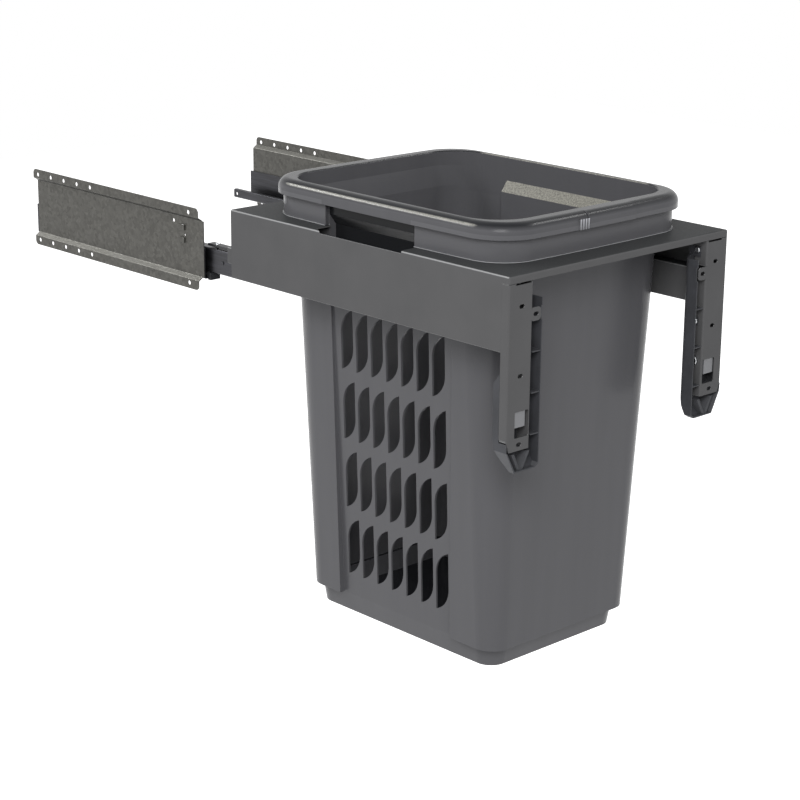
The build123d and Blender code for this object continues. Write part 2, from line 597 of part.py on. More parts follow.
def cabinet_rail():
    """Channel welded to the side plate: its floor carries the lower balls."""
    section = folded([(RAIL_WALL_INSET, CABINET_RAIL_DROP - CABINET_RAIL_WALL),
                      (RAIL_WALL_INSET, CABINET_RAIL_DROP), (RAIL_INNER_INSET, CABINET_RAIL_DROP),
                      (RAIL_INNER_INSET, LIP_DROP), (RAIL_INNER_INSET - UPSTAND_LIP, LIP_DROP)],
                     RAIL_SHEET, RAIL_FOLD, Side.LEFT)
    shape = drawn(section, PLATE_FRONT, RAIL_BACK)
    strip = RAIL_INNER_INSET - UPSTAND_LIP
    shape -= block((strip - 1, RAIL_INNER_INSET + 1), (0, PLATE_FRONT + 20), (0, FLOOR_DROP - 0.6))
    shape -= block((-WALL_GAP, strip), (PLATE_BACK + 5, RAIL_BACK + 1), (0, CABINET_RAIL_DROP + 1))
    shape -= across((strip, RAIL_INNER_INSET + 1), RAIL_BACK - 7, FLOOR_DROP - 5, 2.5)
    return shape


def front_guide():
    """Plastic plug in the cabinet rail's mouth, under the middle rail."""
    inset = (SHEET + 2 * SLIDE_GAP, RAIL_INNER_INSET - RAIL_FOLD - SLIDE_GAP)
    shape = block(inset, (PLATE_FRONT - 6, PLATE_FRONT + 3), (MIDDLE_LOW_DROP + 0.4, FLOOR_DROP))
    shape += block(inset, (PLATE_FRONT - 6, PLATE_FRONT), (MIDDLE_LOW_DROP + 0.4, CABINET_RAIL_DROP + 1.5))
    return shape


def middle_rail():
    """Channel between the two rows of balls, open towards the basket."""
    inset = MIDDLE_RAIL_INSET
    section = folded([(inset + MIDDLE_RAIL_TOP_WIDTH, MIDDLE_TOP_DROP), (inset, MIDDLE_TOP_DROP),
                      (inset, MIDDLE_LOW_DROP), (inset + MIDDLE_RAIL_LOW_WIDTH, MIDDLE_LOW_DROP)],
                     SLIM_SHEET, RAIL_FOLD, Side.LEFT)
    shape = drawn(section, MIDDLE_RAIL_FRONT, MIDDLE_RAIL_BACK)
    return shape - across((0, inset + 3), MIDDLE_RAIL_FRONT + STOP_SETBACK, STOP_DROP, STOP_SHANK + SHAFT_GAP)


STOP_DROP = (MIDDLE_TOP_DROP + MIDDLE_LOW_DROP) / 2
STOP_SHANK = STOP_RADIUS * 0.6


def middle_stop():
    """Riveted stop that the drawer rail and the cabinet rail pull against."""
    y = MIDDLE_RAIL_FRONT + STOP_SETBACK
    inset = MIDDLE_RAIL_INSET
    dome = across((inset - STOP_HEIGHT, inset), y, STOP_DROP, STOP_RADIUS)
    shank = across((inset, inset + SLIM_SHEET), y, STOP_DROP, STOP_SHANK)
    head = across((inset + SLIM_SHEET, inset + SLIM_SHEET + STOP_HEIGHT), y, STOP_DROP, STOP_RADIUS)
    return dome + shank + head


PIN_DROP = MIDDLE_TOP_DROP + 15.0
PIN_OPEN_Y = HOUSING_FRONT + CATCH_LENGTH + CATCH_STROKE - TRAVEL
PIN_SHANK = PIN_RADIUS * 0.6


def drawer_rail():
    """Channel under the deck, welded inside the skirt, that rides on the upper balls."""
    outer = SHEET
    wide = SHEET + DRAWER_RAIL_WIDTH
    section = folded([(outer, DRAWER_TOP_DROP + DRAWER_RAIL_OUTER), (outer, DRAWER_TOP_DROP),
                      (wide, DRAWER_TOP_DROP), (wide, DRAWER_TOP_DROP + DRAWER_RAIL_INNER)],
                     SLIM_SHEET, RAIL_FOLD, Side.RIGHT)
    back = DRAWER_RAIL_FRONT + DRAWER_RAIL_LENGTH
    shape = drawn(section, DRAWER_RAIL_FRONT, back)
    tab_drop = MIDDLE_TOP_DROP + SLIM_SHEET + 3.3
    for start in (back - 115, back - 35):
        shape += block((MIDDLE_RAIL_INSET + MIDDLE_RAIL_TOP_WIDTH - 4, wide - SLIM_SHEET),
                       (start, start + 15), (tab_drop, tab_drop + SLIM_SHEET))
    return shape - across((wide - 2 * SLIM_SHEET, wide + 1), PIN_OPEN_Y, PIN_DROP, PIN_SHANK + SHAFT_GAP)


def closing_pin():
    """Stud riveted into the drawer rail, caught by the soft-close unit."""
    wide = SHEET + DRAWER_RAIL_WIDTH
    face = wide - SLIM_SHEET
    return (across((face - PIN_LENGTH, face), PIN_OPEN_Y, PIN_DROP, PIN_RADIUS)
            + across((face, wide), PIN_OPEN_Y, PIN_DROP, PIN_SHANK))


def ball_places(front):
    """Y of each ball in a cage that starts at front."""
    pitch = CAGE_LENGTH / CAGE_BALLS
    return [front + pitch * (index + 0.5) for index in range(CAGE_BALLS)]


def ball_cage(front, inset, drop):
    """Plastic strip with a round pocket for each ball."""
    half = CAGE_THICKNESS / 2
    shape = block((inset - CAGE_WIDTH / 2, inset + CAGE_WIDTH / 2), (front, front + CAGE_LENGTH),
                  (drop - half, drop + half))
    for y in ball_places(front):
        shape -= Pos(inboard(inset), y, under(drop)) * Cylinder(BALL_RADIUS + CAGE_PLAY, 2 * CAGE_THICKNESS)
    return shape


def ball_row(front, inset, drop):
    """The steel balls of one cage."""
    return [Pos(inboard(inset), y, under(drop)) * Sphere(BALL_RADIUS) for y in ball_places(front)]


add_pair("cabinet_rail", cabinet_rail())
add_pair("front_guide", front_guide())
add_pair("middle_rail", middle_rail())
add_pair("middle_rail_stop", middle_stop())
add_pair("drawer_rail", drawer_rail())
add_pair("closing_pin", closing_pin())
for row, front, inset, drop in (
        ("lower", LOWER_CAGE_FRONT, MIDDLE_RAIL_INSET + MIDDLE_RAIL_LOW_WIDTH / 2,
         (FLOOR_DROP + MIDDLE_LOW_DROP) / 2),
        ("upper", UPPER_CAGE_FRONT, MIDDLE_RAIL_INSET + MIDDLE_RAIL_TOP_WIDTH / 2,
         MIDDLE_TOP_DROP - BALL_RADIUS - BALL_PLAY)):
    add_pair(row + "_ball_cage", ball_cage(front, inset, drop))
    add_pair(row + "_balls", Compound(ball_row(front, inset, drop)))


# Soft-close unit

HOUSING_OUTER = RAIL_INNER_INSET - 2.0
HOUSING_INSET = HOUSING_OUTER - HOUSING_WIDTH
HOUSING_LOW = LIP_DROP
HOUSING_TOP = HOUSING_LOW - HOUSING_HEIGHT
CYLINDER_INSET = HOUSING_INSET + HOUSING_WIDTH / 2
CATCH_FRONT = HOUSING_FRONT + 6.0
CYLINDER_FRONT = CATCH_FRONT + CATCH_LENGTH + CATCH_STROKE + 6.0
CYLINDER_BACK = CYLINDER_FRONT + CYLINDER_LENGTH
CYLINDER_CAP = 2.0


def damper_housing():
    """Box on the cabinet rail's lip, slotted on its inner side for the catch's tooth."""
    wall = HOUSING_WALL
    back = HOUSING_FRONT + HOUSING_LENGTH
    shape = block((HOUSING_INSET, HOUSING_OUTER), (HOUSING_FRONT, back), (HOUSING_TOP, HOUSING_LOW))
    room = (HOUSING_INSET + wall, HOUSING_OUTER - wall)
    shape -= block(room, (HOUSING_FRONT + wall, back - wall), (HOUSING_TOP + wall, HOUSING_LOW - wall))
    ledge_drop = PIN_DROP + CATCH_HEIGHT / 2 + SLIDE_GAP
    shape += block(room, (HOUSING_FRONT + wall, CYLINDER_FRONT - 2), (ledge_drop, HOUSING_LOW - wall))
    for y in (CYLINDER_FRONT + 8, CYLINDER_BACK - 12):
        shape += block(room, (y, y + 3), (PIN_DROP, HOUSING_LOW - wall))
    shape -= along(CYLINDER_INSET, (CYLINDER_FRONT - 1, CYLINDER_BACK + 1), PIN_DROP,
                   CYLINDER_RADIUS + SHAFT_GAP)
    slot = (CATCH_FRONT - 1, CATCH_FRONT + CATCH_LENGTH + CATCH_STROKE + 1)
    return shape - block((room[1] - 1, HOUSING_OUTER + 1), slot, (PIN_DROP - 3, PIN_DROP + 3))


def damper_catch():
    """Sliding block with a tooth that takes the closing pin."""
    wall = HOUSING_WALL
    room = (HOUSING_INSET + wall + SLIDE_GAP, HOUSING_OUTER - wall - SLIDE_GAP)
    back = CATCH_FRONT + CATCH_LENGTH
    shape = block(room, (CATCH_FRONT, back), (PIN_DROP - CATCH_HEIGHT / 2, PIN_DROP + CATCH_HEIGHT / 2))
    shape += block((room[1] - 1, HOUSING_OUTER), (back - 6, back), (PIN_DROP - 2, PIN_DROP + 2))
    return shape - along(CYLINDER_INSET, (back - 8, back + 1), PIN_DROP, ROD_RADIUS + SHAFT_GAP)


def damper_rod():
    """Rod and piston pushed into the cylinder by the catch."""
    back = CATCH_FRONT + CATCH_LENGTH
    piston = CYLINDER_FRONT + CYLINDER_CAP + 1
    return (along(CYLINDER_INSET, (back - 8, piston), PIN_DROP, ROD_RADIUS)
            + along(CYLINDER_INSET, (piston, piston + 4), PIN_DROP, CYLINDER_BORE - SHAFT_GAP))


def damper_cylinder():
    """Oil cylinder lying in the housing's cradles."""
    shape = along(CYLINDER_INSET, (CYLINDER_FRONT, CYLINDER_BACK), PIN_DROP, CYLINDER_RADIUS)
    bore = (CYLINDER_FRONT + CYLINDER_CAP, CYLINDER_BACK - CYLINDER_CAP)
    shape -= along(CYLINDER_INSET, bore, PIN_DROP, CYLINDER_BORE)
    return shape - along(CYLINDER_INSET, (CYLINDER_FRONT - 1, bore[0] + 1), PIN_DROP, ROD_RADIUS + SHAFT_GAP)


add_pair("damper_housing", damper_housing())
add_pair("damper_catch", damper_catch())
add_pair("damper_rod", damper_rod())
add_pair("damper_cylinder", damper_cylinder())


# Laundry basket

CREST = COLLAR_HEIGHT + RIM_HEIGHT


def shell(wall, crest):
    """Body of the basket from base up to a crest above the deck, drawn in by a wall."""
    tub = stack((BASE_DROP - wall, ring_outline(*inner(BASE, wall))),
                (STEP_DROP - wall, ring_outline(*inner(STEP, wall))))
    body = stack((STEP_DROP - wall, ring_outline(*inner(FOOT, wall))),
                 (NECK_DROP, ring_outline(*inner(NECK, wall))))
    neck = stack((NECK_DROP, ring_outline(*inner(NECK, wall))),
                 (0, ring_outline(*inner(NECK, wall))))
    mouth = stack((0, ring_outline(*inner(NECK, wall))),
                  (-COLLAR_HEIGHT, ring_outline(*inner(MOUTH, wall))))
    top = stack((-COLLAR_HEIGHT, ring_outline(*inner(MOUTH, wall))),
                (-crest, ring_outline(*inner(MOUTH, wall))))
    return tub + body + neck + mouth + top


def panel_recess(grow):
    """Shallow pocket in the left side that holds the vents, grown by a wall."""
    low = STEP_DROP
    depth_top = HALF_FRAME - PANEL_TOP_HALF_WIDTH + grow
    depth_low = HALF_FRAME - STEP_HALF_WIDTH + grow
    rise = PANEL_DROP - grow
    section = [(0, rise), (depth_top, rise), (depth_low, low + grow), (0, low + grow)]
    outline = [(PANEL_TOP_FRONT - grow, rise), (PANEL_TOP_BACK + grow, rise),
               (PANEL_LOW_BACK + grow, low + grow), (PANEL_LOW_FRONT - grow, low + grow)]
    shape = seen_from_front(section, NECK_FRONT, NECK_BACK)
    return shape & seen_from_side(outline, (0, HALF_FRAME))


def hand_pocket(grow):
    """Recess behind the hand hole, down to the vents, with a sloping roof, grown by a wall."""
    deep = NECK_INSET + POCKET_DEPTH + grow
    roof = -grow / 2
    shallow = deep - POCKET_RUN
    low = PANEL_DROP + POCKET_OVERLAP + grow
    section = [(0, roof - POCKET_RISE), (shallow, roof - POCKET_RISE), (deep, roof), (deep, low), (0, low)]
    return seen_from_front(section, POCKET_FRONT - grow, HAND_HOLE_BACK + grow)


def vent(y, drop):
    """Leaf-shaped vent with its two points at opposite corners."""
    z = under(drop)
    straight = VENT_HEIGHT * VENT_STRAIGHT
    lean = VENT_LEAN * VENT_STRAIGHT
    front_top = (y, z)
    front_low = (y + lean, z - straight)
    tip_low = (y + VENT_WIDTH + VENT_LEAN, z - VENT_HEIGHT)
    back_top = (tip_low[0] - lean, tip_low[1] + straight)
    sides = [Line(front_top, front_low),
             TangentArc(front_low, tip_low, tangent=(lean, -straight)),
             Line(tip_low, back_top),
             TangentArc(back_top, front_top, tangent=(-lean, straight))]
    return make_face(Curve() + sides)


def vents():
    """All vents of the left side as one cutter."""
    cutters = []
    for row in range(VENT_ROWS):
        drop = VENT_TOP_DROP + VENT_ROW_PITCH * row
        for column in range(VENT_COLUMNS):
            y = VENT_LAST_EDGE + VENT_ROW_SHIFT * row - VENT_PITCH * column
            cutters.append(extrude(Plane.YZ.offset(-NECK_HALF_WIDTH) * vent(y, drop), HALF_FRAME / 2))
    return cutters


def both(shape):
    """A left-hand cutter with its right-hand twin."""
    return [shape, mirrored(shape)]


def laundry_basket():
    """Moulded basket: walls, base tub, collar, rolled rim, hand holes and vents."""
    outside = shell(0, CREST - SKIN / 2)
    inside = shell(BASKET_WALL, CREST)
    for cut in both(panel_recess(0)) + both(hand_pocket(0)):
        outside -= cut
    for keep in both(panel_recess(BASKET_WALL)) + both(hand_pocket(BASKET_WALL)):
        inside -= keep
    inside += stack((MOUTH_EDGE - CREST, ring_outline(*inner(MOUTH, BASKET_WALL))),
                    (-CREST, ring_outline(*inner(MOUTH, BASKET_WALL - MOUTH_EDGE))))
    rim = Pos(0, 0, under(-COLLAR_HEIGHT)) * extrude(ring_outline(*RIM, BOW), RIM_HEIGHT)
    rim = fillet(rim.edges().group_by(Axis.Z)[-1], RIM_ROUND)
    pad_y = (RIM[1] - PAD_PROUD, RIM[1] + RIM_ROUND + SKIN)
    pad_x = (PAD_LEFT + HALF_FRAME, PAD_RIGHT + HALF_FRAME)
    pad = block(pad_x, pad_y, (-CREST, -COLLAR_HEIGHT))
    pad = fillet(pad.edges().filter_by(Axis.X).group_by(Axis.Z)[-1].sort_by(Axis.Y)[0], RIM_ROUND - 1)
    rim += pad
    for index in range(PAD_RIB_COUNT):
        x = PAD_LEFT - PAD_RIB_PITCH * (index + 0.5)
        y = RIM[1] - PAD_RIB_PROUD + PAD_RIB_RADIUS
        rim += Pos(x, y, under(-COLLAR_HEIGHT - PAD_RIB_HEIGHT / 2)) * Cylinder(PAD_RIB_RADIUS, PAD_RIB_HEIGHT)
    hollow_height = RIM_HEIGHT - SKIN
    tall = COLLAR_HEIGHT + hollow_height
    hollow = Pos(0, 0, under(-COLLAR_HEIGHT)) * extrude(ring_outline(*inner(RIM, SKIN), BOW), hollow_height)
    hollow = fillet(hollow.edges().group_by(Axis.Z)[-1], RIM_ROUND - SKIN)
    collar = Pos(0, 0, DECK_TOP) * extrude(ring_outline(*COLLAR, BOW), tall)
    collar += Pos(0, 0, DECK_TOP) * extrude(ring_outline(*inner(COLLAR, -COLLAR_BEAD), BOW), COLLAR_BEAD)
    core = Pos(0, 0, DECK_TOP) * extrude(ring_outline(*inner(COLLAR, SKIN), BOW), tall)
    groove = core - Pos(0, 0, DECK_TOP) * extrude(ring_outline(*MOUTH), CREST)
    hollow -= collar
    collar -= core
    hand_hole = block((0, HALF_FRAME - NECK_HALF_WIDTH), (HAND_HOLE_FRONT, HAND_HOLE_BACK), (-COLLAR_HEIGHT, 1))
    hand_hole = fillet(hand_hole.edges().filter_by(Axis.X).group_by(Axis.Z)[-1], 2.0)
    for cut in both(hand_hole):
        collar -= cut
    web = (HALF_FRAME - COLLAR_HALF_WIDTH + SKIN / 2, NECK_INSET + SKIN / 2)
    for y in (HAND_HOLE_FRONT - SKIN, HAND_HOLE_BACK + SKIN):
        for end in both(block(web, (y - SKIN / 2, y + SKIN / 2), (-COLLAR_HEIGHT - 1, 0))):
            collar += end
    shape = outside + collar + (rim - hollow - groove) - inside
    for cutter in vents():
        for cut in both(cutter):
            shape -= cut
    return Pos(0, 0, SEAT_GAP) * shape


parts["laundry_basket"] = laundry_basket()

os.makedirs("parts", exist_ok=True)
for name, shape in parts.items():
    export_step(shape, "parts/" + name + ".step")
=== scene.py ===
"""Pull-out laundry hamper on two ball-bearing runners, shown fully pulled out."""
import math
import bmesh
import bpy
from mathutils import Matrix, Vector

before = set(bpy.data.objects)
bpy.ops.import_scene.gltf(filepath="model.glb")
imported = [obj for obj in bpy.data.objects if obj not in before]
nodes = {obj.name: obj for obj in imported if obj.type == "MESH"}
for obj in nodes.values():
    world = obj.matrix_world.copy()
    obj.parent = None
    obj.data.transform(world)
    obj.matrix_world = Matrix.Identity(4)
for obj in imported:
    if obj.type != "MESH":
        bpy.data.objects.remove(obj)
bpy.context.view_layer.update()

# Studio
# A plain photographic table: a pale floor below the hanging hamper, even white light from all
# round as from a light tent, one broad lamp above the front left, and two lying strips aimed at
# the rim, one from the right and one from behind. The camera stands at the left.


def linear(colour):
    """Linear red, green, blue and alpha of an sRGB hex colour."""
    shares = [int(colour[place:place + 2], 16) / 255 for place in (0, 2, 4)]
    shares = [share / 12.92 if share <= 0.04045 else ((share + 0.055) / 1.055) ** 2.4
              for share in shares]
    return (*shares, 1.0)


def add_node(tree, kind, inputs=None, **settings):
    """A new node with its properties set, and its inputs filled or linked."""
    made = tree.nodes.new("ShaderNode" + kind)
    for name, value in settings.items():
        setattr(made, name, value)
    for name, value in (inputs or {}).items():
        if isinstance(value, bpy.types.NodeSocket):
            tree.links.new(value, made.inputs[name])
        else:
            made.inputs[name].default_value = value
    return made


def seen_share(tree):
    """1 for rays that see a surface, straight or mirrored, and 0 for rays that it only lights."""
    rays = add_node(tree, "LightPath")
    share = rays.outputs["Is Camera Ray"]
    for name in ("Is Glossy Ray", "Is Transmission Ray"):
        either = add_node(tree, "Math", {0: share, 1: rays.outputs[name]}, operation="MAXIMUM")
        share = either.outputs[0]
    return share


scene = bpy.context.scene
scene.view_settings.view_transform = "Standard"

# The tent is seen pure white, and lights the hamper with this share of it.
WHITE = (1, 1, 1, 1)
TENT_LIGHT = 0.46
world = bpy.data.worlds.new("light_tent")
scene.world = world
world.use_nodes = True
tree = world.node_tree
tree.nodes.clear()
strength = add_node(tree, "MapRange", {"Value": seen_share(tree), "To Min": TENT_LIGHT,
                                       "To Max": 1.0})
light = add_node(tree, "Background", {"Color": WHITE, "Strength": strength.outputs[0]})
add_node(tree, "OutputWorld", {"Surface": light.outputs[0]})


def soft_lamp(name, place, target, width, power, height=None):
    """A soft box that faces a point: square, or a lying strip of this height."""
    lamp = bpy.data.lights.new(name, "AREA")
    lamp.size = width
    if height:
        lamp.shape = "RECTANGLE"
        lamp.size_y = height
    lamp.energy = power
    holder = bpy.data.objects.new(name, lamp)
    holder.location = place
    holder.rotation_mode = "QUATERNION"
    holder.rotation_quaternion = (Vector(target) - Vector(place)).to_track_quat("-Z", "Y")
    scene.collection.objects.link(holder)


BASKET_MIDDLE = (0.0, 0.3, -0.1)
RIM_MIDDLE = (0.0, 0.3, 0.1)
soft_lamp("key_soft_box", (-2.4, -2.0, 1.9), BASKET_MIDDLE, width=1.6, power=79)
soft_lamp("side_strip", (2.3, -0.6, 2.6), RIM_MIDDLE, width=1.2, power=16, height=0.2)
soft_lamp("back_strip", (-1.6, 2.5, 2.0), RIM_MIDDLE, width=2.2, power=44, height=0.15)

FLOOR_DROP = 0.95
FLOOR_REACH = 6.0
floor_mesh = bmesh.new()
bmesh.ops.create_grid(floor_mesh, x_segments=1, y_segments=1, size=FLOOR_REACH)
bmesh.ops.translate(floor_mesh, vec=(0, 0, -FLOOR_DROP), verts=floor_mesh.verts)
floor_data = bpy.data.meshes.new("pale_floor")
floor_mesh.to_mesh(floor_data)
floor_mesh.free()
floor = bpy.data.objects.new("pale_floor", floor_data)
scene.collection.objects.link(floor)

# The matt layer takes the hamper's soft shadow. The glow is seen, and lights nothing.
pale = bpy.data.materials.new("pale_floor")
pale.use_nodes = True
tree = pale.node_tree
tree.nodes.clear()
matt = add_node(tree, "BsdfDiffuse", {"Color": linear("e6e6e6")})
glow = add_node(tree, "Emission", {"Color": WHITE, "Strength": seen_share(tree)})
both = add_node(tree, "AddShader", {0: matt.outputs[0], 1: glow.outputs[0]})
add_node(tree, "OutputMaterial", {"Surface": both.outputs[0]})
floor_data.materials.append(pale)

# The camera looks right and down, and leans a little. Its lens is given for a square picture.
YAW = math.radians(43.33)
PITCH = math.radians(16.73)
ROLL = math.radians(0.51)
SENSOR = 36.0
FOCAL_PIXELS = 2132.4
PICTURE = 800
CAMERA_PLACE = (-1.9107, -1.6354, 0.6852)
NEAREST_SEEN = 0.01
FARTHEST_SEEN = 100
forward = Vector((math.cos(PITCH) * math.sin(YAW), math.cos(PITCH) * math.cos(YAW),
                  -math.sin(PITCH)))
level = Vector((math.cos(YAW), -math.sin(YAW), 0))
upright = level.cross(forward)
right = level * math.cos(ROLL) + upright * math.sin(ROLL)
up = upright * math.cos(ROLL) - level * math.sin(ROLL)
camera_data = bpy.data.cameras.new("camera")
camera_data.sensor_width = SENSOR
camera_data.lens = FOCAL_PIXELS / PICTURE * SENSOR
camera_data.clip_start = NEAREST_SEEN
camera_data.clip_end = FARTHEST_SEEN
camera = bpy.data.objects.new("camera", camera_data)
turn = Matrix((right, up, -forward)).transposed().to_4x4()
camera.matrix_world = Matrix.Translation(CAMERA_PLACE) @ turn
scene.collection.objects.link(camera)
scene.camera = camera

# Carrier frame, door brackets and drawer rails
# One sheet of 1.5 mm steel, folded down at its sides and lipped at the front, two folded legs
# that take the door's screws, and the two rails under the deck. All are powder coated dark grey.


def new_finish(name):
    """An empty node material, its tree and its object coordinates."""
    made = bpy.data.materials.new(name)
    made.use_nodes = True
    made.node_tree.nodes.clear()
    place = add_node(made.node_tree, "TexCoord").outputs["Object"]
    return made, made.node_tree, place


def grain(tree, place, size_mm, detail=2.0):
    """Noise whose features are about this many millimetres wide."""
    return add_node(tree, "TexNoise", {"Vector": place, "Scale": 1000 / size_mm, "Detail": detail,
                                       "Roughness": 0.5}).outputs[0]


def worn(tree, noise, low, high):
    """Noise spread between two values. Most of it lies between 0.3 and 0.7."""
    return add_node(tree, "MapRange", {"Value": noise, "From Min": 0.3, "From Max": 0.7,
                                       "To Min": low, "To Max": high}).outputs[0]


def laid_over(tree, colour, other, share):
    """A colour with a second one, a hex colour or a pattern, laid over it by a share."""
    if isinstance(other, str):
        other = linear(other)
    return add_node(tree, "Mix", {0: share, 6: colour, 7: other}, data_type="RGBA").outputs[2]


def tinted(tree, noise, dark, light):
    """Colour between two hex colours along a noise."""
    return laid_over(tree, linear(dark), light, worn(tree, noise, 0.0, 1.0))


def rounded(tree, radius_mm, samples=6):
    """Normal that rounds sharp edges by a radius, as a press or a mould leaves them."""
    return add_node(tree, "Bevel", {"Radius": radius_mm / 1000}, samples=samples).outputs[0]


def bumped(tree, height, depth_mm, normal):
    """Normal raised by a height pattern of this depth."""
    return add_node(tree, "Bump", {"Height": height, "Strength": 1.0, "Distance": depth_mm / 1000,
                                   "Normal": normal}).outputs[0]


# The normal direction where the painted highlight on the folds lies.
HALF_WAY_OUT_AND_UP = (0.707, 0, 0.707)
FOLD_STARTS = 0.88
FOLD_IS_FULL = 0.96


def painted_fold_highlight(tree, colour, radius_mm, light, share):
    """Colour with a painted highlight, lighter by a share, on the folds between a top and a left
    or right side.
    """
    bend = rounded(tree, radius_mm, samples=8)
    bend = add_node(tree, "VectorMath", {0: bend}, operation="ABSOLUTE").outputs[0]
    along = add_node(tree, "VectorMath", {0: bend, 1: HALF_WAY_OUT_AND_UP},
                     operation="DOT_PRODUCT").outputs["Value"]
    fold = add_node(tree, "MapRange", {"Value": along, "From Min": FOLD_STARTS,
                                       "From Max": FOLD_IS_FULL, "To Min": 0.0, "To Max": share})
    return laid_over(tree, colour, light, fold.outputs[0])


def painted_top_shade(tree, colour, dark, start, full):
    """Colour darkened by painted shade on faces that look up, from a lean to a fuller one."""
    normal = add_node(tree, "NewGeometry").outputs["Normal"]
    lift = add_node(tree, "SeparateXYZ", {0: normal}).outputs["Z"]
    share = add_node(tree, "MapRange", {"Value": lift, "From Min": start, "From Max": full})
    return laid_over(tree, colour, dark, share.outputs[0])


def close_up(tree, colour, roughness, normal, **sockets):
    """The shader at the end of a finish."""
    inputs = {"Base Color": colour, "Roughness": roughness, "Normal": normal}
    inputs.update({name.replace("_", " "): value for name, value in sockets.items()})
    shader = add_node(tree, "BsdfPrincipled", inputs)
    add_node(tree, "OutputMaterial", {"Surface": shader.outputs[0]})


def cover_with(finish, *names):
    """Put a finish on every slot of these CAD nodes."""
    for name in names:
        for slot in nodes[name].material_slots:
            slot.material = finish


def sides(name):
    """The left and right nodes of a pair."""
    return "left_" + name, "right_" + name


# A dull satin with a fine orange peel. To match the tones of the object, the level deck is
# darkened with painted shade, and the side folds carry thin light lines of painted highlight.
powder_coat, tree, place = new_finish("powder_coated_steel")
peel = grain(tree, place, size_mm=1.6)
patches = grain(tree, place, size_mm=60.0)
coat = tinted(tree, patches, "5b5b5c", "5f5f60")
coat = painted_top_shade(tree, coat, "3e3f40", start=0.75, full=0.97)
coat = painted_fold_highlight(tree, coat, radius_mm=1.0, light="b4b5b6", share=0.6)
skin = bumped(tree, peel, depth_mm=0.012, normal=rounded(tree, radius_mm=0.5))
close_up(tree, coat, worn(tree, peel, 0.45, 0.55), skin, Specular_IOR_Level=0.03, IOR=1.5)
cover_with(powder_coat, "carrier_frame", *sides("door_bracket"), *sides("drawer_rail"))

# Leg covers
# Glass-filled nylon tubs, moulded dark grey, that close the back of each leg. Each is held by
# two pan-head screws.

# Matt and a little cloudy, with a spark-eroded texture from the mould, drawn coarser than the
# real one so that it shows, and a painted highlight that makes the edges paler.
moulded_nylon, tree, place = new_finish("moulded_nylon")
texture = grain(tree, place, size_mm=0.7)
clouds = grain(tree, place, size_mm=25.0)
tub = tinted(tree, clouds, "3d3e41", "45464a")
tub = painted_fold_highlight(tree, tub, radius_mm=0.5, light="77787b", share=0.35)
skin = bumped(tree, texture, depth_mm=0.02, normal=rounded(tree, radius_mm=0.4))
close_up(tree, tub, worn(tree, texture, 0.42, 0.55), skin, Specular_IOR_Level=0.15, IOR=1.53)
cover_with(moulded_nylon, *sides("leg_cover"))

# Cover screws, nuts and the height adjusters
# Pan-head screws and cams in bright zinc, hexagon nuts, and a light grey acetal block that the
# cam lifts behind the window. The soft-close catch is moulded in the same acetal.

# A silvery, slightly scuffed shine that picks the small parts out.
bright_zinc, tree, place = new_finish("bright_zinc")
scuff = grain(tree, place, size_mm=1.2)
close_up(tree, tinted(tree, scuff, "a9abad", "c4c6c8"), worn(tree, scuff, 0.2, 0.34),
         rounded(tree, radius_mm=0.25), Metallic=1.0)
cover_with(bright_zinc, "cover_screws", "cover_nuts", *sides("adjuster_cam"))

# Waxy and smooth, and lighter than the steel and nylon round it. The grain is drawn coarser than
# the real one so that it shows.
light_acetal, tree, place = new_finish("light_grey_acetal")
wax = grain(tree, place, size_mm=0.8)
skin = bumped(tree, wax, depth_mm=0.01, normal=rounded(tree, radius_mm=0.4))
close_up(tree, tinted(tree, wax, "717275", "797a7d"), worn(tree, wax, 0.35, 0.45), skin,
         Specular_IOR_Level=0.5, IOR=1.48)
cover_with(light_acetal, *sides("adjuster_slide"), *sides("damper_catch"))

# Side plates
# Cold-pressed plates in hot-dip galvanised sheet, with a joggled flange along the top and the
# bottom, and holes for the screws into the cabinet's sides.

# The zinc freezes in flat crystals a few millimetres wide with wandering borders, each with its
# own grey and its own dull shine. To match the tones of the object, the steps of the flanges carry
# a painted highlight where they look up and painted shade where they look down.
SPANGLE_MM = 4.5
BORDER_WANDER = 0.004
PAINTED_FLANGE_LIGHT = (
    {"start": 0.25, "full": 0.55, "share": 0.25, "grey": "a9a8a2"},
    {"start": -0.25, "full": -0.55, "share": 0.7, "grey": "232220"},
)
galvanised, tree, place = new_finish("galvanised_steel")
wander = add_node(tree, "VectorMath", {0: grain(tree, place, size_mm=5.0), "Scale": BORDER_WANDER},
                  operation="SCALE").outputs[0]
bent = add_node(tree, "VectorMath", {0: place, 1: wander}, operation="ADD").outputs[0]
crystals = add_node(tree, "TexVoronoi", {"Vector": bent, "Scale": 1000 / SPANGLE_MM,
                                         "Randomness": 1.0}, feature="F1", distance="EUCLIDEAN")
crystal = add_node(tree, "SeparateColor", {"Color": crystals.outputs["Color"]}).outputs
fine = grain(tree, place, size_mm=1.5)
mottle = add_node(tree, "Math", {0: crystal[0], 1: fine}, operation="ADD").outputs[0]
mottle = add_node(tree, "MapRange", {"Value": mottle, "From Min": 0.3, "From Max": 1.7}).outputs[0]
tone = laid_over(tree, linear("4a4946"), "5e5d59", mottle)
normal = add_node(tree, "NewGeometry").outputs["Normal"]
lift = add_node(tree, "SeparateXYZ", {0: normal}).outputs["Z"]
